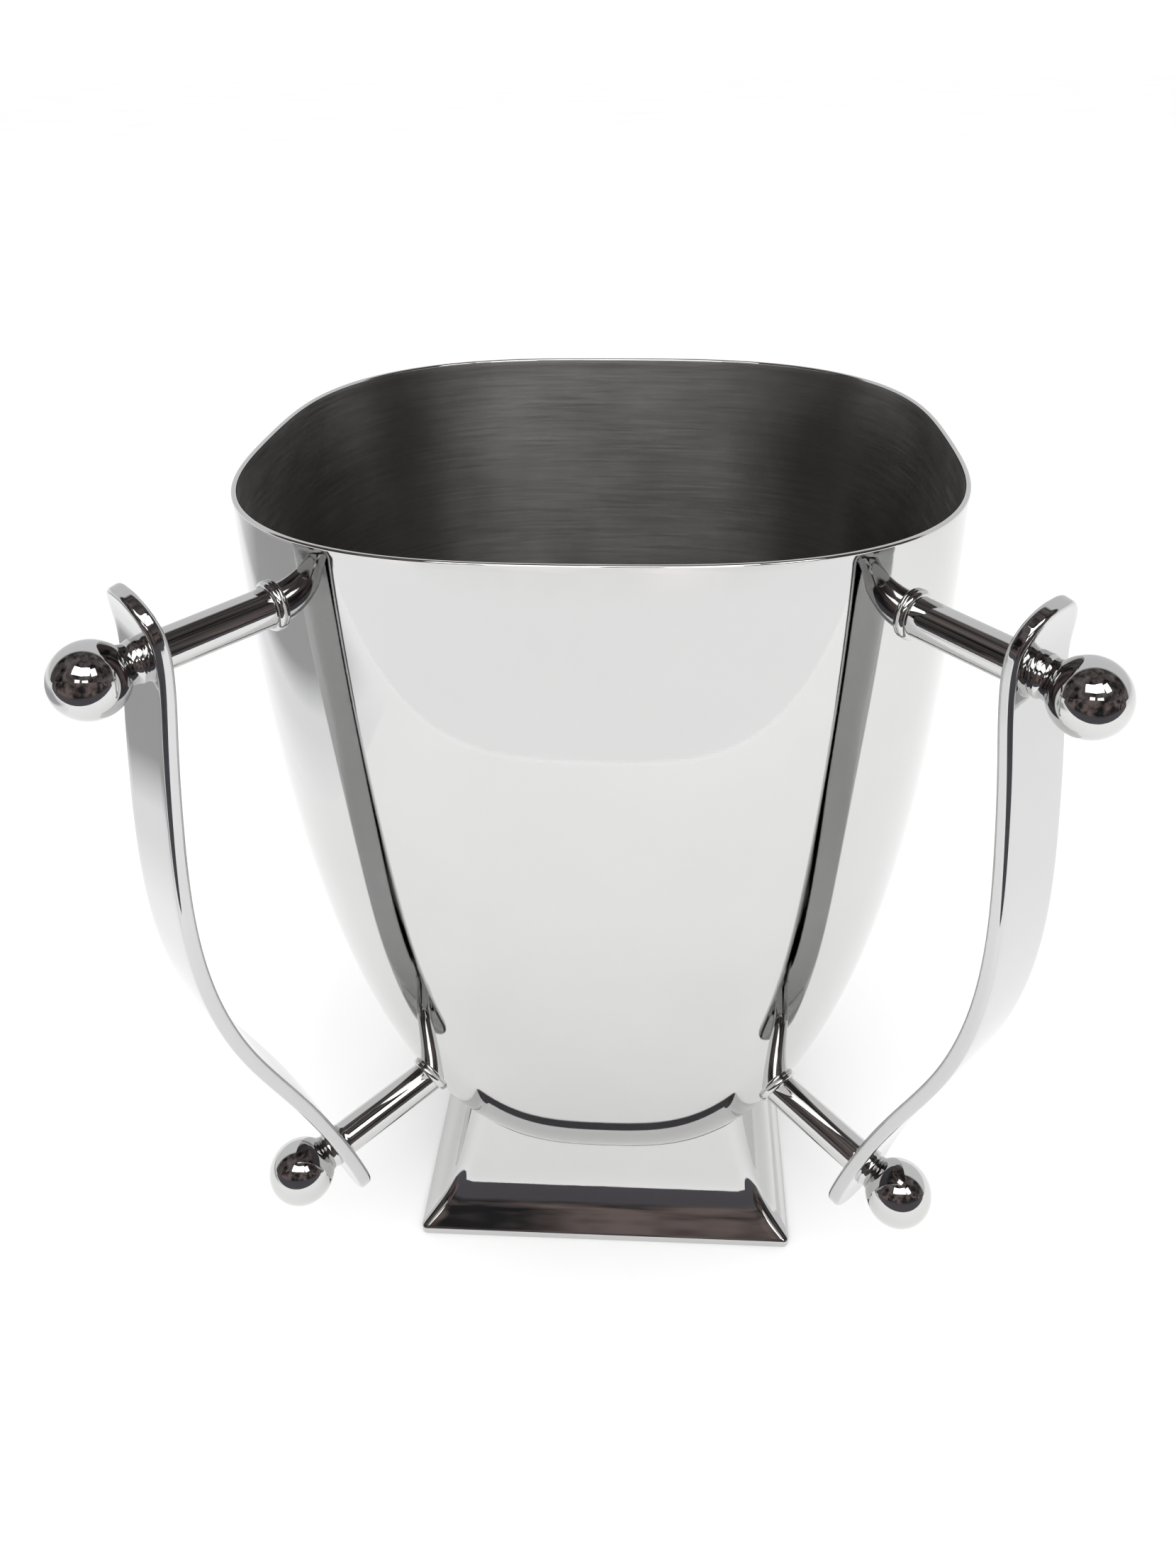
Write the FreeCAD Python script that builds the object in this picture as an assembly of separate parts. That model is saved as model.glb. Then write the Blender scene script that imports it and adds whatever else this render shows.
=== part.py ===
"""Champagne bucket: a rounded-square bucket on a coved square foot, with two bowed strap handles.

Millimetres, +Z up. The origin is the middle of the foot's underside, on the bucket's upright axis.
+X is the bucket's right and -Y its front. Both handles stand on the front corners.
"""
import FreeCAD, Part
import math
import os

Vec = FreeCAD.Vector

# Driving dimensions, millimetres.
HEIGHT = 268.0            # ground to lip
MOUTH_WIDTH = 206.0       # outside, left to right
DEPTH_RATIO = 0.955       # front-to-back size of every section over its width
WALL = 1.2                # bucket sheet
FLOOR_T = 1.6             # the sheet under the bucket's flat floor
FOOT_WIDTH = 126.0        # outside, at the ground
FOOT_WALL = 1.5
FOOT_BAND = 2.4           # upright band round the foot's lower edge
FOOT_INNER_CORNER_R = 0.8
BASE_PLATE_T = 1.6

HANDLE_AZIMUTH = 43.7     # degrees from the side axis towards the front: the bucket's corner
STRAP_WIDTH = 25.6
STRAP_T = 4.0
STRAP_TIP_R = 11.5
STRAP_END_TRIM = 0.5      # cut off each end of the bowed bar
ROD_R = 5.3
ROD_SEAT = 14.0           # how far inside the wall a rod's blank starts before it is trimmed
COLLAR_R = 6.6
COLLAR_T = 1.8
BALL_R = 9.7
NECK_R = 5.7
NECK_GROOVE = 0.9
STUD_R = 2.5
STUD_IN_ROD = 14.0
STUD_IN_BALL = 8.0

# Upright profile of the bucket: half width against the share of the depth below the lip.
BODY_DEPTH = 258.4        # where the rounded bottom would close
BODY_POWER = 2.2
BODY_ROUNDING = 0.4
BODY_TAPER = 0.02
FLOOR_SHARE = 0.965       # the rounded bottom is cut flat here
PROFILE_SHARES = (0.0, 0.12, 0.25, 0.38, 0.5, 0.61, 0.71, 0.79, 0.85, 0.9, 0.94, FLOOR_SHARE)
# Plan shape of the bucket: how far its corners stand out from a circle.
CORNER_BULGE = 0.0515
SECTION_POINTS = 32

# The foot's cove as (height, half width, corner radius): from the band's top edge to inside the bucket.
FOOT_PROFILE = ((FOOT_BAND, FOOT_WIDTH / 2, 2.2), (4.6, 60.6, 2.6), (8.0, 57.0, 3.2), (13.0, 53.5, 4.2),
                (20.0, 50.8, 5.4), (30.0, 48.2, 6.6), (42.0, 45.7, 7.4), (60.0, 42.5, 8.0))

# Middle line of a strap in its own upright plane: distance from the bucket's axis, height.
STRAP_LINE = ((147.6, 262.5), (144.8, 252.0), (144.6, 240.0), (146.2, 225.0), (148.5, 200.0), (149.5, 175.0),
              (147.4, 150.0), (140.4, 125.0), (131.0, 105.0), (123.8, 90.0), (118.4, 77.0), (114.0, 65.0),
              (110.9, 55.0), (108.6, 45.5))

# Each rod's axis, in the same plane, as (distance, height) at the bucket's wall and at the ball's centre.
RODS = {
    "upper": ((110.8, 246.8), (158.0, 242.1)),
    "lower": ((78.0, 67.0), (125.4, 59.2)),
}


def body_scale(share):
    """Width of the bucket at a share of its depth, over its width at the lip."""
    return (1 - BODY_TAPER * share) * (1 - share ** BODY_POWER) ** BODY_ROUNDING


def rounded_square(half_width, z):
    """A smooth closed curve: a polar rounded square, a little narrower front to back."""
    reach = half_width / (1 - CORNER_BULGE)
    points = []
    for i in range(SECTION_POINTS):
        a = 2 * math.pi * i / SECTION_POINTS
        r = reach * (1 - CORNER_BULGE * math.cos(4 * a))
        points.append(Vec(r * math.cos(a), DEPTH_RATIO * r * math.sin(a), z))
    curve = Part.BSplineCurve()
    curve.interpolate(Points=points, PeriodicFlag=True)
    return Part.Wire([curve.toShape()])


def bucket_solid(inset, depth):
    """The bucket filled in, inset from its outside, with its rounded bottom at the given depth."""
    wires = []
    for share in PROFILE_SHARES:
        half_width = (MOUTH_WIDTH / 2 - inset) * body_scale(share)
        wires.append(rounded_square(half_width, HEIGHT - share * depth))
    return Part.makeLoft(wires, True, False)


def body_shell(outside):
    """Thin pressed shell, open at the lip."""
    inside = bucket_solid(WALL, BODY_DEPTH - FLOOR_T)
    return outside.cut(inside)


def square_wire(half_width, corner_r, z):
    """A square with rounded corners, drawn in the same proportion as the bucket."""
    x = half_width
    y = half_width * DEPTH_RATIO
    r = corner_r
    turn = r * (1 - math.sqrt(0.5))
    edges = []
    for sx, sy in ((1, 1), (-1, 1), (-1, -1), (1, -1)):
        a = Vec(sx * x, sy * (y - r), z)
        b = Vec(sx * (x - r), sy * y, z)
        middle = Vec(sx * (x - turn), sy * (y - turn), z)
        if sx * sy < 0:
            a, b = b, a
        edges.append(Part.Arc(a, middle, b).toShape())
    sides = []
    for i in range(4):
        start = edges[i].valueAt(edges[i].LastParameter)
        end = edges[(i + 1) % 4].valueAt(edges[(i + 1) % 4].FirstParameter)
        sides.append(edges[i])
        sides.append(Part.LineSegment(start, end).toShape())
    return Part.Wire(sides)


def foot_solid(inset):
    """The foot filled in: an upright band, then the cove drawn in to the neck."""
    levels = [(z, w - inset, max(r - inset, FOOT_INNER_CORNER_R)) for z, w, r in FOOT_PROFILE]
    _, band_half, band_r = levels[0]
    band = Part.makeLoft([square_wire(band_half, band_r, z) for z in (0.0, FOOT_BAND)], True, True)
    cove = Part.makeLoft([square_wire(w, r, z) for z, w, r in levels], True, False)
    return band.fuse(cove).removeSplitter()


def foot_and_plate(bucket):
    """The hollow foot, ending on the bucket's rounded bottom, and the plate that closes it below."""
    inner = foot_solid(FOOT_WALL)
    foot = foot_solid(0.0).cut(inner).cut(bucket)
    plate = inner.common(Part.makeBox(2 * FOOT_WIDTH, 2 * FOOT_WIDTH, BASE_PLATE_T,
                                      Vec(-FOOT_WIDTH, -FOOT_WIDTH, 0)))
    return foot, plate


def in_plane(point):
    """A point of a handle's upright plane, put along +X."""
    return Vec(point[0], 0, point[1])


def offset_line(offset):
    """The strap's middle line moved sideways in its plane."""
    middle = Part.BSplineCurve()
    middle.interpolate([in_plane(p) for p in STRAP_LINE])
    points = []
    steps = 3 * len(STRAP_LINE)
    for i in range(steps + 1):
        u = middle.FirstParameter + (middle.LastParameter - middle.FirstParameter) * i / steps
        along = middle.tangent(u)[0]
        points.append(middle.value(u) + Vec(-along.z, 0, along.x) * offset)
    curve = Part.BSplineCurve()
    curve.interpolate(points)
    return curve.toShape(), points[0], points[-1]


def strap_solid():
    """A flat bar bowed in its plane, with rounded tips."""
    outer, outer_top, outer_foot = offset_line(STRAP_T / 2)
    inner, inner_top, inner_foot = offset_line(-STRAP_T / 2)
    side = Part.Face(Part.Wire(Part.__sortEdges__([
        outer, inner, Part.LineSegment(outer_top, inner_top).toShape(),
        Part.LineSegment(outer_foot, inner_foot).toShape()])))
    side.translate(Vec(0, -STRAP_WIDTH / 2, 0))
    bar = side.extrude(Vec(0, STRAP_WIDTH, 0))
    low = STRAP_LINE[-1][1] + STRAP_END_TRIM
    high = STRAP_LINE[0][1] - STRAP_END_TRIM
    outline = Part.makeBox(MOUTH_WIDTH, STRAP_WIDTH, high - low, Vec(0, -STRAP_WIDTH / 2, low))
    tips = [edge for edge in outline.Edges if edge.BoundBox.XLength > MOUTH_WIDTH / 2]
    outline = outline.makeFillet(STRAP_TIP_R, tips)
    return bar.common(outline)


def ringed_neck(start, direction, length):
    """A short turned neck with one groove, on an axis."""
    half = length / 2
    profile = [Vec(0, 0, 0), Vec(NECK_R, 0, 0), Vec(NECK_R, 0, half - NECK_GROOVE / 2),
               Vec(NECK_R - NECK_GROOVE, 0, half), Vec(NECK_R, 0, half + NECK_GROOVE / 2),
               Vec(NECK_R, 0, length), Vec(0, 0, length), Vec(0, 0, 0)]
    face = Part.Face(Part.makePolygon(profile))
    neck = face.revolve(Vec(0, 0, 0), Vec(0, 0, 1), 360)
    neck.Placement = FreeCAD.Placement(start, FreeCAD.Rotation(Vec(0, 0, 1), direction))
    return neck


def handle(bucket):
    """The pieces of one handle, in a plane along +X, named by their place."""
    turned = bucket.copy()
    turned.rotate(Vec(0, 0, 0), Vec(0, 0, 1), HANDLE_AZIMUTH)
    bar = strap_solid()
    strap = bar.copy()
    pieces = {}
    for level, (inner, outer) in RODS.items():
        centre = in_plane(outer)
        out = (centre - in_plane(inner)).normalize()
        seat = in_plane(inner) - out * ROD_SEAT
        axis = Part.makeLine(seat, centre)
        wall = seat + out * axis.common(turned).Length
        middle = axis.common(bar).Edges[0].CenterOfMass
        stud_start = middle - out * STUD_IN_ROD
        stud_length = (centre - stud_start).Length - BALL_R + STUD_IN_BALL
        stud = Part.makeCylinder(STUD_R, stud_length, stud_start, out)
        full_rod = Part.makeCylinder(ROD_R, (middle - seat).Length, seat, out)
        # The collar's blank starts inside the wall, which then trims it.
        collar = Part.makeCylinder(COLLAR_R, COLLAR_R + COLLAR_T, wall - out * COLLAR_R, out)
        sphere = Part.makeSphere(BALL_R, centre)
        neck = ringed_neck(middle, out, (centre - middle).Length)
        pieces[level + "_rod"] = full_rod.cut(turned).cut(bar).cut(stud)
        pieces[level + "_collar"] = collar.cut(turned).cut(full_rod)
        pieces[level + "_neck"] = neck.cut(bar).cut(sphere).cut(stud)
        pieces[level + "_ball"] = sphere.cut(stud)
        pieces[level + "_stud"] = stud
        strap = strap.cut(stud)
    pieces["strap"] = strap
    return pieces


def main():
    os.makedirs("parts", exist_ok=True)
    bucket = bucket_solid(0.0, BODY_DEPTH)
    nodes = {"bucket_shell": body_shell(bucket)}
    nodes["foot"], nodes["foot_base_plate"] = foot_and_plate(bucket)
    for name, piece in handle(bucket).items():
        right = piece.copy()
        right.rotate(Vec(0, 0, 0), Vec(0, 0, 1), -HANDLE_AZIMUTH)
        nodes["right_" + name] = right
        nodes["left_" + name] = right.mirror(Vec(0, 0, 0), Vec(1, 0, 0))
    for name, shape in nodes.items():
        solids = shape.Solids
        box = shape.BoundBox
        print("%-22s solids %d valid %s volume %.1f  x %.1f..%.1f y %.1f..%.1f z %.1f..%.1f" % (
            name, len(solids), shape.isValid(), shape.Volume,
            box.XMin, box.XMax, box.YMin, box.YMax, box.ZMin, box.ZMax))
        shape.exportStep("parts/%s.step" % name)


main()
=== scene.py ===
"""Champagne bucket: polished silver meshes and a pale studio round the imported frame. Metres, +Z up."""
import math

import bmesh
import bpy
import numpy as np
from mathutils import Euler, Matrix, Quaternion, Vector


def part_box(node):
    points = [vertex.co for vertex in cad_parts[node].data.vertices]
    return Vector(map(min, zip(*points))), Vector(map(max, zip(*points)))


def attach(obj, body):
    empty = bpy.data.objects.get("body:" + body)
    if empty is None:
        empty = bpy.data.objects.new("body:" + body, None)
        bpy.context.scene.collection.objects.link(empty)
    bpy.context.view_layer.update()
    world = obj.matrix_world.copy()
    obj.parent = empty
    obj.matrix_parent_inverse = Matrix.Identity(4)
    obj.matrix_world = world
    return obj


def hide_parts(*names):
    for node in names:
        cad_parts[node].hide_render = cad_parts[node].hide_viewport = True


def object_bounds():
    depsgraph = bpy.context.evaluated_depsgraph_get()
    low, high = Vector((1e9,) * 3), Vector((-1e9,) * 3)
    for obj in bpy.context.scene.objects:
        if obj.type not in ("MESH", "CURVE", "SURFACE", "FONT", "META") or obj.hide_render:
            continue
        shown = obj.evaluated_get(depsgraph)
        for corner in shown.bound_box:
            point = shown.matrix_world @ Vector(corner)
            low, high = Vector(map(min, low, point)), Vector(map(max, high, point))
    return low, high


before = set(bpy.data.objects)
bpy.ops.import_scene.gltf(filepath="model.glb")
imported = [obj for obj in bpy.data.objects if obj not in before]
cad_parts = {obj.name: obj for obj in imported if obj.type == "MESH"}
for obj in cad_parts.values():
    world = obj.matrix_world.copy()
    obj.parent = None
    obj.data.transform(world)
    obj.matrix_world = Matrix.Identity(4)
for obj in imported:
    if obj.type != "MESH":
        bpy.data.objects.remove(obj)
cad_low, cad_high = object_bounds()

MM = 0.001
SIDES = ("right", "left")
LEVELS = ("upper", "lower")


# ---------------------------------------------------------------- sizes

def box_size(node):
    low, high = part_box(node)
    return high - low


def box_middle(node):
    low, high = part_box(node)
    return (low + high) / 2


HEIGHT = cad_high.z
BODY_SIZE = box_size("bucket_shell")
FOOT_SIZE = box_size("foot")
MOUTH_HALF = BODY_SIZE.x / 2
DEPTH_RATIO = FOOT_SIZE.y / FOOT_SIZE.x
WALL = 1.2 * MM
LIP_R = 0.75 * MM            # the lip is rolled a little thicker than the sheet
FLOOR_T = 1.6 * MM
FOOT_WALL = 1.5 * MM

# Upright profile and plan shape of the bucket, as its CAD solid has them.
BODY_DEPTH = 258.4 * MM
BODY_POWER = 2.2
BODY_ROUNDING = 0.4
BODY_TAPER = 0.02
FLOOR_SHARE = 0.965
CORNER_BULGE = 0.0515

# The foot's cove: height, half width and corner radius, from the band's top edge to inside the bucket.
FOOT_HALF = FOOT_SIZE.x / 2
FOOT_LINE = [(z * MM, w * MM, r * MM) for z, w, r in (
    (2.4, 63.0, 2.2), (4.6, 60.6, 2.6), (8.0, 57.0, 3.2), (13.0, 53.5, 4.2), (20.0, 50.8, 5.4),
    (30.0, 48.2, 6.6), (42.0, 45.7, 7.4), (60.0, 42.5, 8.0))]
FOOT_INNER_CORNER_R = 0.8 * MM
FOOT_EDGE = 0.35 * MM        # rounding of the band's edges

# Middle line of a strap in its upright plane: distance from the bucket's axis, height.
STRAP_LINE = [(d * MM, h * MM) for d, h in (
    (147.6, 262.5), (144.8, 252.0), (144.6, 240.0), (146.2, 225.0), (148.5, 200.0), (149.5, 175.0),
    (147.4, 150.0), (140.4, 125.0), (131.0, 105.0), (123.8, 90.0), (118.4, 77.0), (114.0, 65.0),
    (110.9, 55.0), (108.6, 45.5))]
STRAP_END_TRIM = 0.5 * MM
STRAP_WIDTH = 25.6 * MM
STRAP_T = 4.0 * MM
STRAP_TIP_R = 11.5 * MM
STRAP_EDGE = 1.2 * MM

BALL_R = box_size("right_upper_ball").z / 2
ROD_R = 5.3 * MM
COLLAR_R = 6.6 * MM
COLLAR_T = 1.8 * MM
NECK_R = 5.7 * MM
NECK_WAIST = 0.45 * MM
SEAT = 0.25 * MM             # how far a piece is let into the one it is soldered to


# ---------------------------------------------------------------- curves and meshes

def natural_spline(points):
    """A smooth curve through the points, by distance along their chords. Returns (curve, whole length)."""
    pts = np.array(points, float)
    t = np.concatenate(([0.0], np.cumsum(np.linalg.norm(np.diff(pts, axis=0), axis=1))))
    step = np.diff(t)
    count = len(t)
    system = np.eye(count)
    right = np.zeros_like(pts)
    for i in range(1, count - 1):
        system[i, i - 1:i + 2] = (step[i - 1], 2 * (step[i - 1] + step[i]), step[i])
        right[i] = 6 * ((pts[i + 1] - pts[i]) / step[i] - (pts[i] - pts[i - 1]) / step[i - 1])
    bend = np.linalg.solve(system, right)

    def at(u):
        i = int(np.clip(np.searchsorted(t, u) - 1, 0, count - 2))
        a = (t[i + 1] - u) / step[i]
        b = 1 - a
        curved = ((a ** 3 - a) * bend[i] + (b ** 3 - b) * bend[i + 1]) * step[i] ** 2 / 6
        return a * pts[i] + b * pts[i + 1] + curved

    return at, t[-1]


def evenly(curve, start, end, count, dense=600):
    """Parameters between start and end at even distances along a curve."""
    us = np.linspace(start, end, dense)
    pts = np.array([curve(u) for u in us])
    along = np.concatenate(([0.0], np.cumsum(np.linalg.norm(np.diff(pts, axis=0), axis=1))))
    return np.interp(np.linspace(0, along[-1], count), along, us)


def skin(name, rings, wrap=False, start_point=None, end_point=None, inside_from=None):
    """A smooth mesh from closed rings of points. Rings from inside_from on take the second material."""
    bm = bmesh.new()
    grid = [[bm.verts.new(p) for p in ring] for ring in rings]
    count = len(rings[0])
    pairs = list(zip(range(len(grid) - 1), range(1, len(grid))))
    if wrap:
        pairs.append((len(grid) - 1, 0))
    for low, high in pairs:
        for i in range(count):
            j = (i + 1) % count
            face = bm.faces.new((grid[low][i], grid[low][j], grid[high][j], grid[high][i]))
            if inside_from is not None and low >= inside_from:
                face.material_index = 1
    for point, ring, material in ((start_point, grid[0], 0), (end_point, grid[-1], 1)):
        if point is None:
            continue
        tip = bm.verts.new(point)
        for i in range(count):
            face = bm.faces.new((ring[i], ring[(i + 1) % count], tip))
            face.material_index = material if inside_from is not None else 0
    bmesh.ops.recalc_face_normals(bm, faces=bm.faces)
    for face in bm.faces:
        face.smooth = True
    mesh = bpy.data.meshes.new(name)
    bm.to_mesh(mesh)
    bm.free()
    piece = bpy.data.objects.new(name, mesh)
    bpy.context.scene.collection.objects.link(piece)
    return piece


def place(piece, slot, materials, *nodes):
    """The piece rides on the body, stands for its CAD nodes and takes its materials."""
    for material in materials:
        piece.data.materials.append(material)
    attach(piece, "root")
    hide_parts(*nodes)
    return piece


# ---------------------------------------------------------------- bucket

def body_scale(share):
    """Width of the bucket at a share of its depth, over its width at the lip."""
    return (1 - BODY_TAPER * share) * (1 - share ** BODY_POWER) ** BODY_ROUNDING


def body_ring(half_width, z, count=288):
    """One level of the bucket: a polar rounded square, a little narrower front to back."""
    reach = half_width / (1 - CORNER_BULGE)
    ring = []
    for i in range(count):
        a = 2 * math.pi * i / count
        r = reach * (1 - CORNER_BULGE * math.cos(4 * a))
        ring.append(Vector((r * math.cos(a), DEPTH_RATIO * r * math.sin(a), z)))
    return ring


def inside_body(point):
    """True where a point is within the bucket's outside surface."""
    share = (HEIGHT - point.z) / BODY_DEPTH
    if share >= FLOOR_SHARE or share <= 0:
        return False
    y = point.y / DEPTH_RATIO
    a = math.atan2(y, point.x)
    reach = MOUTH_HALF * body_scale(share) / (1 - CORNER_BULGE)
    return math.hypot(point.x, y) < reach * (1 - CORNER_BULGE * math.cos(4 * a))


def body_levels(inset, depth, count):
    """(half width, height) from the lip down to the flat floor, evenly along the wall."""
    def wall(share):
        return np.array(((MOUTH_HALF - inset) * body_scale(share), HEIGHT - share * depth))
    return [wall(share) for share in evenly(wall, LIP_R / depth, FLOOR_SHARE, count)]


def make_bucket(outside, inside):
    """One skin: up the outside from the floor's middle, over the rolled lip and down the inside."""
    outer_levels, inner_levels, lip_steps = 170, 130, 12
    outer = body_levels(0.0, BODY_DEPTH, outer_levels)
    inner = body_levels(WALL, BODY_DEPTH - FLOOR_T, inner_levels)
    floor_steps = (0.25, 0.5, 0.75, 0.9, 0.97)
    floor_half, floor_z = outer[-1]
    rings = [body_ring(floor_half * k, floor_z) for k in floor_steps]
    rings += [body_ring(w, z) for w, z in reversed(outer)]
    for i in range(1, lip_steps):
        turn = math.pi * i / lip_steps
        inset = LIP_R * (1 - math.cos(turn))
        rings.append(body_ring(MOUTH_HALF - inset, HEIGHT - LIP_R + LIP_R * math.sin(turn)))
    lip_end = len(rings)
    # Below the lip the inner wall runs from the lip's thickness to the sheet's.
    ease_depth = 5 * MM
    for w, z in inner:
        ease = max(0.0, 1 - (HEIGHT - LIP_R - z) / ease_depth)
        rings.append(body_ring(w - (2 * LIP_R - WALL) * ease, z))
    inner_half, inner_z = inner[-1]
    rings += [body_ring(inner_half * k, inner_z) for k in reversed(floor_steps)]
    piece = skin(
        "bucket", rings, start_point=Vector((0, 0, floor_z)), end_point=Vector((0, 0, inner_z)),
        inside_from=lip_end)
    return place(piece, "polished_body", (outside, inside), "bucket_shell")


# ---------------------------------------------------------------- foot

def square_ring(half_width, corner_r, side_steps=34, corner_steps=10):
    """(x, y) points round a square with rounded corners, in the bucket's proportion."""
    x, y, r = half_width, half_width * DEPTH_RATIO, corner_r
    ring = []
    for quarter, (sx, sy) in enumerate(((1, 1), (-1, 1), (-1, -1), (1, -1))):
        centre = Vector((sx * (x - r), sy * (y - r)))
        for i in range(corner_steps + 1):
            a = math.pi / 2 * (quarter + i / corner_steps)
            ring.append(centre + r * Vector((math.cos(a), math.sin(a))))
        nx, ny = ((-1, 1), (-1, -1), (1, -1), (1, 1))[quarter]
        a = math.pi / 2 * (quarter + 1)
        following = Vector((nx * (x - r), ny * (y - r))) + r * Vector((math.cos(a), math.sin(a)))
        last = ring[-1]
        for i in range(1, side_steps):
            ring.append(last.lerp(following, i / side_steps))
    return ring


def foot_side(inset, rows, table_rows=240, halvings=24):
    """Rings up one face of the foot's sheet, each column ending where it meets the bucket."""
    line, length = natural_spline(FOOT_LINE)
    # Rings at even steps up the cove, for reading a column at any height between them.
    table = []
    for u in evenly(line, 0.0, length, table_rows):
        z, w, r = (float(value) for value in line(u))
        corner_r = max(r - inset, FOOT_INNER_CORNER_R)
        table.append([Vector((p.x, p.y, z)) for p in square_ring(w - inset, corner_r)])
    columns = len(table[0])
    rings = [[] for _ in range(rows)]
    for k in range(columns):
        low, high = 0.0, float(len(table) - 1)

        def along(t):
            i = min(int(t), len(table) - 2)
            return table[i][k].lerp(table[i + 1][k], t - i)

        for _ in range(halvings):
            middle = (low + high) / 2
            if inside_body(along(middle)):
                high = middle
            else:
                low = middle
        for j in range(rows):
            rings[j].append(along(low * j / (rows - 1)))
    return rings


def make_foot(material):
    """The cove's sheet: round the band at its foot, up the outside and back down the inside."""
    outer_rows, inner_rows, edge_steps = 80, 24, 4
    outer = foot_side(0.0, outer_rows)
    inner = foot_side(FOOT_WALL, inner_rows)
    band_top, _, corner_r = FOOT_LINE[0]
    e = FOOT_EDGE

    def flat_ring(inset, z, r=corner_r):
        return [Vector((p.x, p.y, z)) for p in square_ring(FOOT_HALF - inset, r)]

    rings = []
    for i in range(edge_steps + 1):
        turn = math.pi / 2 * i / edge_steps
        rings.append(flat_ring(e * (1 - math.sin(turn)), e * (1 - math.cos(turn))))
    # Shares of the rounding: how far in, and how far below the band's top edge.
    for inward, below in ((0.0, 2.0), (0.0, 1.0), (0.12, 0.3)):
        rings.append(flat_ring(inward * e, band_top - below * e))
    rings += outer[1:]
    rings += reversed(inner)
    rings.append(flat_ring(FOOT_WALL, 0.0, FOOT_INNER_CORNER_R))
    piece = skin("foot_cove", rings, wrap=True)
    return place(piece, "polished_foot", (material,), "foot")


# ---------------------------------------------------------------- handles

def handle_plane(side):
    """Unit vectors of a handle's upright plane: outward, and across it."""
    ball = box_middle(side + "_upper_ball")
    outward = Vector((ball.x, ball.y, 0)).normalized()
    return outward, Vector((0, 0, 1)).cross(outward)


def rod_axis(side, level):
    """(ball centre, outward direction) of a rod: its stud and its ball lie on one line."""
    ball = box_middle("%s_%s_ball" % (side, level))
    stud = box_middle("%s_%s_stud" % (side, level))
    return ball, (ball - stud).normalized()


def strap_half(s, length):
    """Half the strap's width at a distance along it: its tips are rounded."""
    near = min(s, length - s)
    if near >= STRAP_TIP_R:
        return STRAP_WIDTH / 2
    return STRAP_WIDTH / 2 - STRAP_TIP_R + math.sqrt(STRAP_TIP_R ** 2 - (STRAP_TIP_R - near) ** 2)


def strap_crown(s, y, length):
    """Half the strap's thickness at a point of its flat outline, rounded off along every edge."""
    near = min(s, length - s)
    side = STRAP_WIDTH / 2 - abs(y)
    if near < STRAP_TIP_R and side < STRAP_TIP_R:
        inset = STRAP_TIP_R - math.hypot(STRAP_TIP_R - near, STRAP_TIP_R - side)
    else:
        inset = min(near, side)
    inset = min(max(inset, 0.0), STRAP_EDGE)
    return STRAP_T / 2 - STRAP_EDGE + math.sqrt(STRAP_EDGE ** 2 - (STRAP_EDGE - inset) ** 2)


def strap_section(s, length):
    """A closed section across the strap, as (across, through) points."""
    half = strap_half(s, length)
    arc_steps, flat_steps = 8, 10
    insets = [STRAP_EDGE * (1 - math.cos(math.pi / 2 * i / arc_steps)) for i in range(arc_steps + 1)]
    inner = half - STRAP_EDGE
    flat = [inner * (1 - 2 * k / flat_steps) for k in range(1, flat_steps)]
    across = [half - i for i in insets] + flat + [-half + i for i in reversed(insets)]
    top = [(y, strap_crown(s, y, length)) for y in across]
    edge = top[0][1]
    down = [edge * k / 2 for k in (1, 0, -1)]
    section = top + [(-half, z) for z in down]
    section += [(y, -z) for y, z in reversed(top)]
    section += [(half, -z) for z in down]
    return section


def make_strap(side, material):
    """A flat bar along the strap's line, with sections closer together round its tips."""
    line_steps, tip_steps, middle_steps = 500, 30, 170
    curve, whole = natural_spline(STRAP_LINE)
    us = evenly(curve, STRAP_END_TRIM, whole - STRAP_END_TRIM, line_steps)
    pts = np.array([curve(u) for u in us])
    along = np.concatenate(([0.0], np.cumsum(np.linalg.norm(np.diff(pts, axis=0), axis=1))))
    length = float(along[-1])
    outward, across = handle_plane(side)

    def line_at(s):
        return np.array([np.interp(s, along, pts[:, i]) for i in (0, 1)])

    tip = [STRAP_TIP_R * (1 - math.cos(math.pi / 2 * i / tip_steps)) for i in range(tip_steps + 1)]
    middle = list(np.linspace(STRAP_TIP_R, length - STRAP_TIP_R, middle_steps))[1:-1]
    rings = []
    for s in tip + middle + [length - s for s in reversed(tip)]:
        d, z = (float(value) for value in line_at(s))
        rise = line_at(min(s + MM, length)) - line_at(max(s - MM, 0.0))
        rise_d, rise_z = (float(value) for value in rise / np.linalg.norm(rise))
        rings.append([
            outward * (d - rise_z * through) + Vector((0, 0, z + rise_d * through)) + across * y
            for y, through in strap_section(s, length)])
    ends = [sum(ring, Vector()) / len(ring) for ring in (rings[0], rings[-1])]
    piece = skin(side + "_strap_bar", rings, start_point=ends[0], end_point=ends[1])
    return place(piece, "polished_strap", (material,), side + "_strap")


def lathe_rings(origin, out, profile, count=64, follow_wall=False):
    """Rings of a turned piece on an axis. With follow_wall, heights start at the bucket's surface."""
    side_a = out.orthogonal().normalized()
    side_b = out.cross(side_a)
    rings = []
    for radius, height in profile:
        ring = []
        for i in range(count):
            a = 2 * math.pi * i / count
            foot = origin + radius * (math.cos(a) * side_a + math.sin(a) * side_b)
            lift = wall_distance(foot, out) if follow_wall else 0.0
            ring.append(foot + out * (lift + height))
        rings.append(ring)
    return rings


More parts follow.
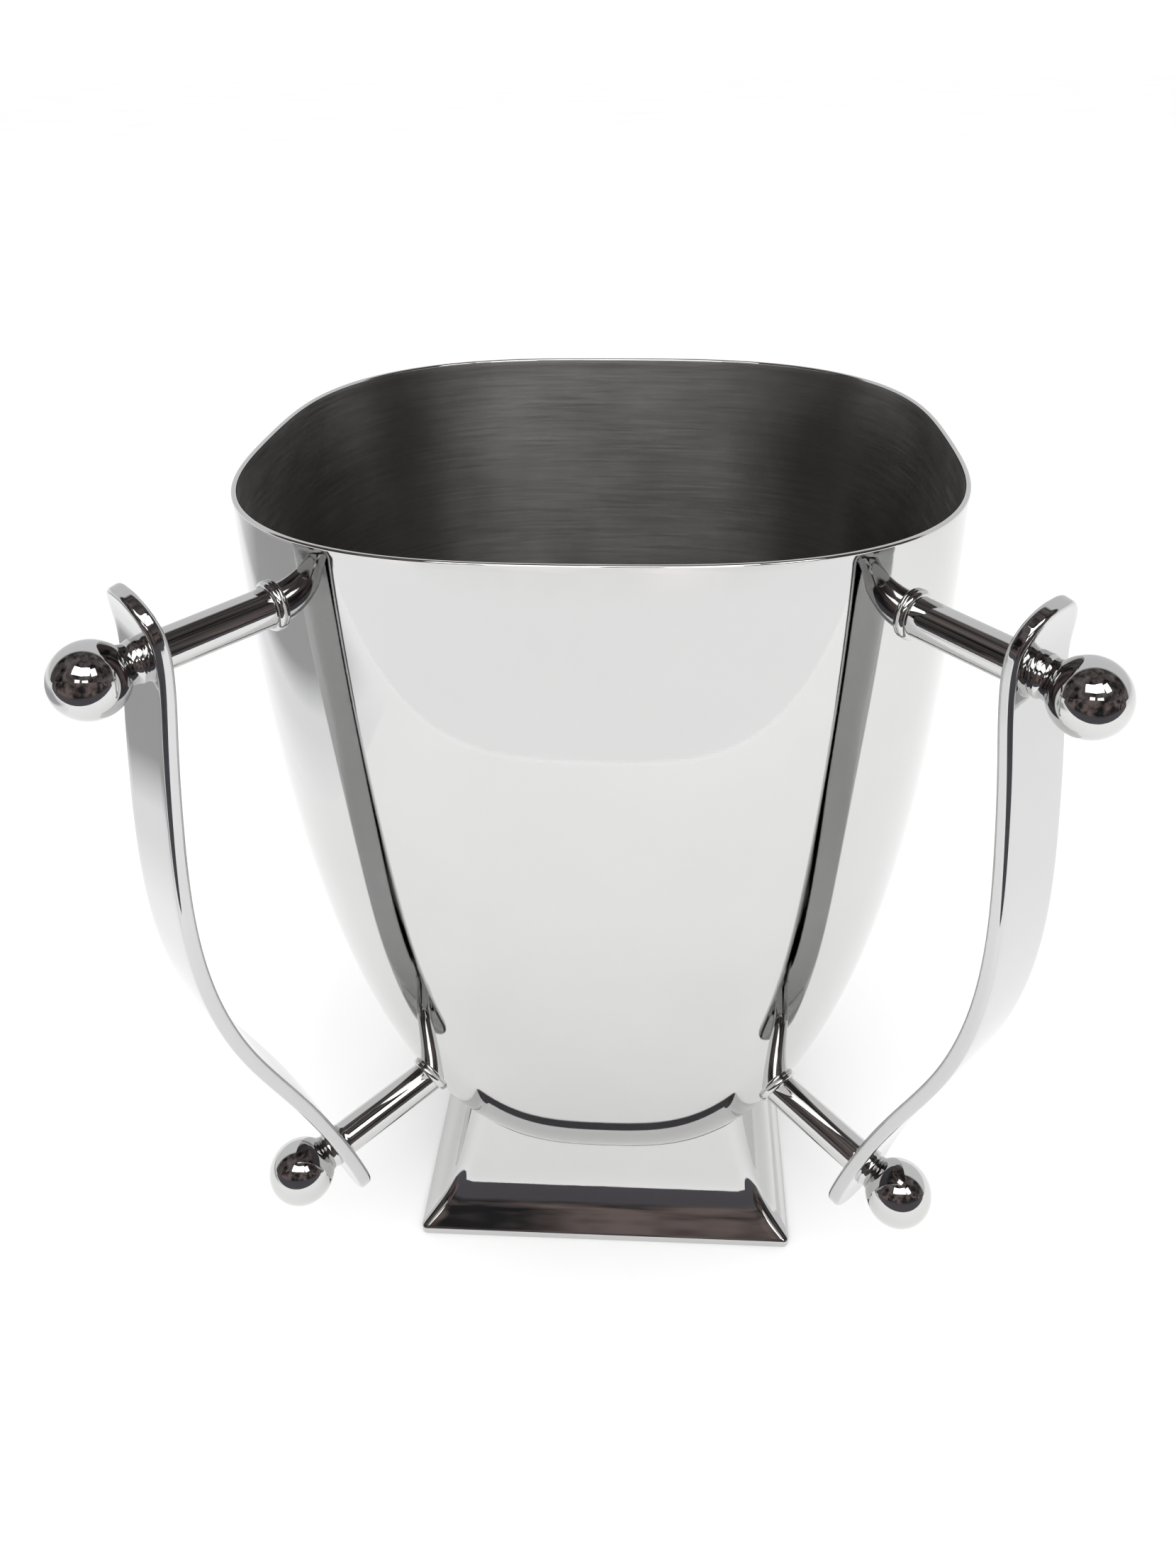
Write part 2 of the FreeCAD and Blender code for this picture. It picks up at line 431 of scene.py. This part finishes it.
def wall_distance(start, out, reach=90 * MM, halvings=26):
    """Distance from a point, against the outward direction, to where its line leaves the bucket."""
    low, high = -reach, 0.0
    for _ in range(halvings):
        middle = (low + high) / 2
        if inside_body(start + out * middle):
            low = middle
        else:
            high = middle
    return high


def strap_crossing(side, ball, out, steps=4000):
    """Where a rod's axis crosses the strap's middle line."""
    curve, whole = natural_spline(STRAP_LINE)
    outward, _ = handle_plane(side)
    best = None
    for u in np.linspace(0, whole, steps):
        d, z = curve(u)
        point = outward * float(d) + Vector((0, 0, float(z)))
        off = (point - ball).cross(out).length
        if best is None or off < best[0]:
            best = (off, (point - ball).dot(out))
    return best[1]


def middle_of(ring):
    return sum(ring, Vector()) / len(ring)


def make_rod_bar(base, ball, out, strap_at, material):
    """The rod: its first ring follows the wall, and it ends inside the strap."""
    wall_end = [(ROD_R, -SEAT), (ROD_R, 0.5 * MM)]
    strap_end = [(ROD_R, strap_at - k * MM) for k in (6.0, 3.0, 0.0)]
    seat = lathe_rings(ball, out, wall_end, follow_wall=True)
    shank = lathe_rings(ball, out, strap_end)
    between = [[a.lerp(b, t) for a, b in zip(seat[-1], shank[0])] for t in (0.2, 0.4, 0.6, 0.8)]
    rings = seat + between + shank
    piece = skin(base + "_rod_bar", rings, start_point=middle_of(rings[0]), end_point=middle_of(rings[-1]))
    place(piece, "polished_rod", (material,), base + "_rod")


def make_collar(base, ball, out, material):
    """A rounded ring of soldered metal, proud of the rod, that follows the wall."""
    steps = 8
    widest = COLLAR_R + 0.1 * MM
    crown_r = ROD_R + 0.15 * MM
    shoulder = 0.35
    bead = [(COLLAR_R, -SEAT), (widest, 0.25 * COLLAR_T)]
    for i in range(1, steps + 1):
        turn = math.pi / 2 * i / steps
        bead.append((crown_r + (widest - crown_r) * math.cos(turn),
                     COLLAR_T * (shoulder + (1 - shoulder) * math.sin(turn))))
    bead += [(ROD_R - SEAT, COLLAR_T), (ROD_R - SEAT, -SEAT)]
    rings = lathe_rings(ball, out, bead, count=72, follow_wall=True)
    piece = skin(base + "_collar_ring", rings, wrap=True)
    place(piece, "polished_rod", (material,), base + "_collar")


def make_neck(base, ball, out, strap_at, material):
    """A short waisted spool between the strap and the ball, let into both."""
    steps = 12
    start = 0.2                # share of the gap where the waist begins
    face = strap_at + STRAP_T / 2
    ball_edge = -math.sqrt(BALL_R ** 2 - NECK_R ** 2)
    sunk_end = ball_edge + 0.6 * MM
    gap = ball_edge - face
    neck = [(NECK_R, strap_at), (NECK_R, face + 0.15 * gap)]
    for i in range(steps + 1):
        t = i / steps
        neck.append((NECK_R - NECK_WAIST * math.sin(math.pi * t), face + gap * (start + (1 - start) * t)))
    neck.append((NECK_R, sunk_end))
    piece = skin(
        base + "_neck_spool", lathe_rings(ball, out, neck),
        start_point=ball + out * strap_at, end_point=ball + out * sunk_end)
    place(piece, "polished_rod", (material,), base + "_neck")


def make_ball(base, ball, out, material):
    """The finial, turned with its poles on the rod's axis."""
    rows = 72
    turned = []
    for i in range(1, rows):
        a = math.pi * i / rows
        turned.append((BALL_R * math.sin(a), -BALL_R * math.cos(a)))
    piece = skin(
        base + "_ball_finial", lathe_rings(ball, out, turned, count=96),
        start_point=ball - out * BALL_R, end_point=ball + out * BALL_R)
    place(piece, "polished_ball", (material,), base + "_ball")


def make_rod(side, level, rod_material, ball_material):
    """Everything on one rod's axis, from the bucket's wall out to the ball."""
    ball, out = rod_axis(side, level)
    strap_at = strap_crossing(side, ball, out)
    base = "%s_%s" % (side, level)
    make_rod_bar(base, ball, out, strap_at, rod_material)
    make_collar(base, ball, out, rod_material)
    make_neck(base, ball, out, strap_at, rod_material)
    make_ball(base, ball, out, ball_material)


# ---------------------------------------------------------------- materials

class Nodes:
    """A small writer of node materials."""

    def __init__(self, name):
        self.material = bpy.data.materials.new(name)
        self.material.use_nodes = True
        self.tree = self.material.node_tree
        self.tree.nodes.clear()
        self.output = self.add("ShaderNodeOutputMaterial")
        self.shader = self.add("ShaderNodeBsdfPrincipled")
        self.link(self.shader.outputs["BSDF"], self.output.inputs["Surface"])
        coordinates = self.add("ShaderNodeTexCoord")
        self.place = coordinates.outputs["Object"]

    def add(self, kind, **values):
        node = self.tree.nodes.new(kind)
        for key, value in values.items():
            if hasattr(node, key):
                setattr(node, key, value)
            else:
                node.inputs[key.replace("_", " ")].default_value = value
        return node

    def link(self, a, b):
        self.tree.links.new(a, b)

    def noise(self, scale, detail=4.0, roughness=0.55, stretch=None):
        source = self.place
        if stretch is not None:
            mapping = self.add("ShaderNodeMapping")
            mapping.inputs["Scale"].default_value = stretch
            self.link(source, mapping.inputs["Vector"])
            source = mapping.outputs["Vector"]
        node = self.add("ShaderNodeTexNoise")
        node.inputs["Scale"].default_value = scale
        node.inputs["Detail"].default_value = detail
        node.inputs["Roughness"].default_value = roughness
        self.link(source, node.inputs["Vector"])
        return node.outputs["Fac"]

    def ranged(self, value, low, high, out_low, out_high):
        node = self.add("ShaderNodeMapRange")
        limits = {"From Min": low, "From Max": high, "To Min": out_low, "To Max": out_high}
        for key, number in limits.items():
            node.inputs[key].default_value = number
        self.link(value, node.inputs["Value"])
        return node.outputs["Result"]

    def combine(self, operation, a, b):
        node = self.add("ShaderNodeMath", operation=operation)
        for i, value in enumerate((a, b)):
            if isinstance(value, (int, float)):
                node.inputs[i].default_value = value
            else:
                self.link(value, node.inputs[i])
        return node.outputs["Value"]

    def mixed(self, factor, dark, light):
        node = self.add("ShaderNodeMix", data_type="RGBA")
        self.link(factor, node.inputs["Factor"])
        node.inputs["A"].default_value = (*dark, 1)
        node.inputs["B"].default_value = (*light, 1)
        return node.outputs["Result"]

    def tint(self, factor, dark, light):
        self.link(self.mixed(factor, dark, light), self.shader.inputs["Base Color"])

    def bump(self, height, distance, strength, under=None):
        node = self.add("ShaderNodeBump")
        node.inputs["Distance"].default_value = distance
        node.inputs["Strength"].default_value = strength
        self.link(height, node.inputs["Height"])
        if under is not None:
            self.link(under, node.inputs["Normal"])
        return node.outputs["Normal"]


def polished_silver(name, light, smear=0.03, ripple=0.10, hairline=0.10):
    """Mirror-polished silver: faint polishing smears, hairlines and the slight waviness of buffed sheet."""
    n = Nodes(name)
    n.shader.inputs["Metallic"].default_value = 1.0
    clouds = n.noise(26.0, 5.0)
    spots = n.noise(190.0, 3.0, 0.6)
    n.tint(n.ranged(clouds, 0.35, 0.7, 0.0, 1.0), tuple(0.975 * c for c in light), light)
    smears = n.ranged(clouds, 0.4, 0.75, 0.018, 0.018 + smear)
    specks = n.ranged(spots, 0.68, 0.8, 0.0, 0.05)
    n.link(n.combine("ADD", smears, specks), n.shader.inputs["Roughness"])
    wave = n.bump(n.noise(14.0, 1.0), 0.4 * MM, ripple)
    scratch = n.noise(60.0, 6.0, 0.7, stretch=(1.0, 1.0, 28.0))
    n.link(n.bump(scratch, 0.02 * MM, hairline, wave), n.shader.inputs["Normal"])
    return n.material


def brushed_silver(name, light, roughness, strokes):
    """Satin silver brushed round the bucket: fine level hairlines and soft mottling."""
    n = Nodes(name)
    n.shader.inputs["Metallic"].default_value = 1.0
    n.shader.inputs["Anisotropic"].default_value = 0.75
    n.shader.inputs["Anisotropic Rotation"].default_value = 0.25
    around = n.add("ShaderNodeTangent", direction_type="RADIAL", axis="Z")
    n.link(around.outputs["Tangent"], n.shader.inputs["Tangent"])
    lines = n.noise(38.0, 8.0, 0.75, stretch=strokes)
    mottle = n.noise(22.0, 4.0)
    worn = n.ranged(n.combine("MULTIPLY", lines, mottle), 0.12, 0.42, 0.0, 1.0)
    n.tint(worn, tuple(0.72 * c for c in light), light)
    grooves = n.ranged(lines, 0.3, 0.75, roughness - 0.05, roughness + 0.09)
    patches = n.ranged(mottle, 0.4, 0.7, 0.0, 0.05)
    n.link(n.combine("ADD", grooves, patches), n.shader.inputs["Roughness"])
    n.link(n.bump(lines, 0.05 * MM, 0.35), n.shader.inputs["Normal"])
    return n.material


def floor_material():
    n = Nodes("studio_floor")
    n.shader.inputs["Specular IOR Level"].default_value = CARD_SPECULAR
    n.tint(n.ranged(n.noise(3.0, 3.0), 0.3, 0.7, 0.0, 1.0), (0.90, 0.90, 0.90), (0.93, 0.93, 0.93))
    n.link(n.ranged(n.noise(40.0), 0.3, 0.7, 0.6, 0.7), n.shader.inputs["Roughness"])
    return n.material


# ---------------------------------------------------------------- studio

FRONT_CARD_Y = -0.36
FRONT_CARD_WIDTH = 3.0
FRONT_CARD_HEIGHT = 0.34
CARD_ROUGHNESS = 0.7
CARD_SPECULAR = 0.1

# Edges of the sheet of painted shade over the floor, seen only in mirrors, and its height over the floor.
SHEET_LEFT, SHEET_RIGHT = -3.0, -0.3
SHEET_FRONT, SHEET_REAR = -0.35, 1.2
SHEET_LIFT = 1 * MM

# Radiance of the studio: the windows, the face panel, the backdrop and the soft light all round.
WINDOW_RADIANCE = 2.7
FACE_PANEL_RADIANCE = 1.12
BACKDROP = (0.80, 0.80, 0.81, 1)
SOFT_STRENGTH = 1.14
ROOM_DARK = (0.012, 0.010, 0.010, 1)
ROOM_LIGHT = (0.17, 0.15, 0.145, 1)
BACKDROP_LEAN = 0.38         # it stands behind the bucket and leans over it, up to about 70 degrees

# name, azimuth and elevation in degrees, width, height
WINDOW_DISTANCE = 2.2
WINDOWS = (
    ("window_left", -17, 50, 0.90, 0.80),
    ("window_middle", 13, 50, 0.85, 0.85),
    ("window_right", 41, 45, 0.55, 0.75),
    ("window_low_left", -9, 24, 0.45, 0.40),
    ("window_low_right", 12, 22, 0.55, 0.42))

CAMERA_PLACE = (0.0211, -0.3555, 0.3787)
CAMERA_HEADING = math.radians(3.10)
CAMERA_PITCH = math.radians(23.52)
CAMERA_ROLL = math.radians(-0.53)
CAMERA_LENS = 28.32
CAMERA_SHIFT = (-0.0156, -0.1356)


def make_floor():
    half = 12.0
    bm = bmesh.new()
    bmesh.ops.create_grid(bm, x_segments=8, y_segments=8, size=half)
    mesh = bpy.data.meshes.new("floor")
    bm.to_mesh(mesh)
    bm.free()
    floor = bpy.data.objects.new("floor", mesh)
    floor.data.materials.append(floor_material())
    bpy.context.scene.collection.objects.link(floor)


def make_world():
    """Pale to the camera and for soft light. Mirrors see a pale backdrop behind and a dim room in front."""
    world = bpy.data.worlds.new("studio")
    bpy.context.scene.world = world
    world.use_nodes = True
    tree = world.node_tree
    tree.nodes.clear()

    def add(kind):
        return tree.nodes.new(kind)

    def link(a, b):
        tree.links.new(a, b)

    def math_node(operation, a, b):
        node = add("ShaderNodeMath")
        node.operation = operation
        for i, value in enumerate((a, b)):
            if isinstance(value, (int, float)):
                node.inputs[i].default_value = value
            else:
                link(value, node.inputs[i])
        return node.outputs[0]

    where = add("ShaderNodeTexCoord").outputs["Generated"]
    parts = add("ShaderNodeSeparateXYZ")
    link(where, parts.inputs[0])
    noise = add("ShaderNodeTexNoise")
    noise.inputs["Scale"].default_value = 3.2
    noise.inputs["Detail"].default_value = 3.0
    link(where, noise.inputs["Vector"])
    room = add("ShaderNodeValToRGB")
    for element, position, color in zip(room.color_ramp.elements, (0.36, 0.66), (ROOM_DARK, ROOM_LIGHT)):
        element.position = position
        element.color = color
    link(noise.outputs["Fac"], room.inputs["Fac"])
    lean = math_node("MULTIPLY", parts.outputs["Z"], BACKDROP_LEAN)
    behind = math_node("SUBTRACT", parts.outputs["Y"], lean)
    edge = add("ShaderNodeMapRange")
    edge.inputs["From Min"].default_value = -0.03
    edge.inputs["From Max"].default_value = 0.08
    link(behind, edge.inputs["Value"])
    seen = add("ShaderNodeMix")
    seen.data_type = "RGBA"
    link(edge.outputs["Result"], seen.inputs["Factor"])
    link(room.outputs["Color"], seen.inputs["A"])
    seen.inputs["B"].default_value = BACKDROP
    reflected = add("ShaderNodeBackground")
    link(seen.outputs["Result"], reflected.inputs["Color"])
    soft = add("ShaderNodeBackground")
    soft.inputs["Color"].default_value = (1, 1, 1, 1)
    soft.inputs["Strength"].default_value = SOFT_STRENGTH
    path = add("ShaderNodeLightPath")
    switch = add("ShaderNodeMixShader")
    link(path.outputs["Is Glossy Ray"], switch.inputs["Fac"])
    link(soft.outputs[0], switch.inputs[1])
    link(reflected.outputs[0], switch.inputs[2])
    output = add("ShaderNodeOutputWorld")
    link(switch.outputs[0], output.inputs["Surface"])


def make_window(name, azimuth, elevation, width, height):
    """A soft rectangular light in front of and above the bucket, aimed at its middle."""
    data = bpy.data.lights.new(name, "AREA")
    data.shape = "RECTANGLE"
    data.size = width
    data.size_y = height
    data.energy = WINDOW_RADIANCE * math.pi * width * height
    lamp = bpy.data.objects.new(name, data)
    a, e = math.radians(azimuth), math.radians(elevation)
    back = Vector((math.sin(a) * math.cos(e), -math.cos(a) * math.cos(e), math.sin(e)))
    lamp.location = Vector((0, 0, 0.6 * HEIGHT)) + back * WINDOW_DISTANCE
    lamp.rotation_mode = "QUATERNION"
    lamp.rotation_quaternion = (-back).to_track_quat("-Z", "Y")
    bpy.context.scene.collection.objects.link(lamp)


def card(name, corners, material):
    """A flat card that only mirrors see."""
    bm = bmesh.new()
    bm.faces.new([bm.verts.new(p) for p in corners])
    mesh = bpy.data.meshes.new(name)
    bm.to_mesh(mesh)
    bm.free()
    mesh.materials.append(material)
    piece = bpy.data.objects.new(name, mesh)
    bpy.context.scene.collection.objects.link(piece)
    piece.visible_camera = False
    piece.visible_diffuse = False
    piece.visible_shadow = False


def make_front_card():
    """Painted reflection: a low dark screen across the front that only mirrors see, clouded brown above for
    the dim room, an even dark grey along the floor.
    """
    n = Nodes("painted_reflection_screen")
    n.shader.inputs["Specular IOR Level"].default_value = CARD_SPECULAR
    n.shader.inputs["Roughness"].default_value = CARD_ROUGHNESS
    # Painted reflection colours: dark brown clouds for the dim room, dark grey for the floor in front.
    clouds = n.ranged(n.noise(9.0, 3.0), 0.42, 0.62, 0.0, 1.0)
    brown = n.mixed(clouds, (0.012, 0.012, 0.014), (0.17, 0.13, 0.12))
    height = n.add("ShaderNodeSeparateXYZ")
    n.link(n.place, height.inputs[0])
    blend = n.add("ShaderNodeMix", data_type="RGBA")
    n.link(n.ranged(height.outputs["Z"], 0.12, 0.16, 0.0, 1.0), blend.inputs["Factor"])
    blend.inputs["A"].default_value = (0.085, 0.08, 0.09, 1)
    n.link(brown, blend.inputs["B"])
    n.link(blend.outputs["Result"], n.shader.inputs["Base Color"])
    half, high, y = FRONT_CARD_WIDTH / 2, FRONT_CARD_HEIGHT, FRONT_CARD_Y
    card("painted_reflection_screen", ((-half, y, 0), (half, y, 0), (half, y, high), (-half, y, high)), n.material)


def make_dim_sheet():
    """Painted shade: a sheet over the floor on the left, seen only in mirrors, that darkens away from the
    bucket and fades out at its edges.
    """
    n = Nodes("painted_shade_sheet")
    n.shader.inputs["Specular IOR Level"].default_value = CARD_SPECULAR
    n.shader.inputs["Roughness"].default_value = CARD_ROUGHNESS
    parts = n.add("ShaderNodeSeparateXYZ")
    n.link(n.place, parts.inputs[0])
    away = n.combine("SUBTRACT", n.combine("MULTIPLY", parts.outputs["Y"], -0.3), parts.outputs["X"])
    near = n.ranged(away, 0.31, 0.39, 0.0, 0.2)
    far = n.combine("ADD", near, n.ranged(away, 0.43, 0.50, 0.0, 0.8))
    front = n.ranged(parts.outputs["Y"], -0.34, -0.20, 0.0, 1.0)
    rear = n.ranged(parts.outputs["Y"], 0.20, 0.60, 1.0, 0.0)
    left = n.ranged(parts.outputs["X"], -1.5, -0.8, 0.0, 1.0)
    inside = n.combine("MULTIPLY", n.combine("MULTIPLY", front, rear), left)
    # Painted shade: the colour goes from floor white to grey away from the bucket.
    n.tint(n.combine("MULTIPLY", far, inside), (0.91, 0.91, 0.92), (0.36, 0.36, 0.365))
    corners = [(x, y, SHEET_LIFT) for x, y in (
        (SHEET_RIGHT, SHEET_FRONT), (SHEET_RIGHT, SHEET_REAR),
        (SHEET_LEFT, SHEET_REAR), (SHEET_LEFT, SHEET_FRONT))]
    card("painted_shade_sheet", corners, n.material)


def make_face_light(bucket):
    """An even pale panel in front of the dark screen that lights only the bucket's shell."""
    data = bpy.data.lights.new("face_panel", "AREA")
    data.shape = "RECTANGLE"
    data.size = FRONT_CARD_WIDTH
    data.size_y = FRONT_CARD_HEIGHT
    data.energy = FACE_PANEL_RADIANCE * math.pi * data.size * data.size_y
    lamp = bpy.data.objects.new("face_panel", data)
    lamp.location = (0.0, FRONT_CARD_Y + 0.3 * MM, data.size_y / 2)
    lamp.rotation_euler = Euler((math.pi / 2, 0, 0))
    bpy.context.scene.collection.objects.link(lamp)
    only = bpy.data.collections.new("lit_by_face_panel")
    only.objects.link(bucket)
    lamp.light_linking.receiver_collection = only


def make_camera():
    data = bpy.data.cameras.new("camera")
    camera = bpy.data.objects.new("camera", data)
    bpy.context.scene.collection.objects.link(camera)
    camera.location = CAMERA_PLACE
    level = math.cos(CAMERA_PITCH)
    forward = Vector((
        -math.sin(CAMERA_HEADING) * level, math.cos(CAMERA_HEADING) * level, -math.sin(CAMERA_PITCH)))
    camera.rotation_mode = "QUATERNION"
    camera.rotation_quaternion = forward.to_track_quat("-Z", "Y") @ Quaternion((0, 0, 1), CAMERA_ROLL)
    data.sensor_width = 36.0
    data.lens = CAMERA_LENS
    data.shift_x, data.shift_y = CAMERA_SHIFT
    data.clip_start = 0.01
    bpy.context.scene.camera = camera


# ---------------------------------------------------------------- build

def refinish(node, finish):
    """A CAD solid that keeps its shape takes a finer finish."""
    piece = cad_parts[node]
    piece.data.materials.clear()
    piece.data.materials.append(finish)


SILVER = (0.61, 0.61, 0.605)
# Painted shade: the straps' silver is set a little darker than the body's, to darken their outer faces.
SHADED_STRAP_SILVER = (0.57, 0.57, 0.57)
# Painted shade: the inside's satin silver is set much darker than the polished silver, to darken the
# bucket's interior.
SHADED_SATIN_SILVER = (0.40, 0.39, 0.375)
PLATE_SILVER = (0.62, 0.62, 0.61)
STEEL = (0.60, 0.60, 0.60)

body_finish = polished_silver("silver_body", SILVER)
inside_finish = brushed_silver("silver_inside", SHADED_SATIN_SILVER, 0.34, (1.0, 1.0, 30.0))
foot_finish = polished_silver("silver_foot", SILVER, smear=0.05, ripple=0.16, hairline=0.14)
strap_finish = polished_silver("silver_strap", SHADED_STRAP_SILVER, ripple=0.06)
rod_finish = polished_silver("silver_rod", SILVER, ripple=0.05, hairline=0.18)
ball_finish = polished_silver("silver_ball", SILVER, ripple=0.03)
plate_finish = brushed_silver("silver_plate", PLATE_SILVER, 0.40, (1.0, 24.0, 1.0))
steel_finish = brushed_silver("steel_stud", STEEL, 0.35, (1.0, 1.0, 20.0))

bucket = make_bucket(body_finish, inside_finish)
make_foot(foot_finish)
refinish("foot_base_plate", plate_finish)
for side in SIDES:
    make_strap(side, strap_finish)
    for level in LEVELS:
        make_rod(side, level, rod_finish, ball_finish)
        refinish("%s_%s_stud" % (side, level), steel_finish)

make_floor()
make_world()
for window in WINDOWS:
    make_window(*window)
make_dim_sheet()
make_front_card()
make_face_light(bucket)
make_camera()

view = bpy.context.scene.view_settings
view.view_transform = "Standard"
view.look = "None"
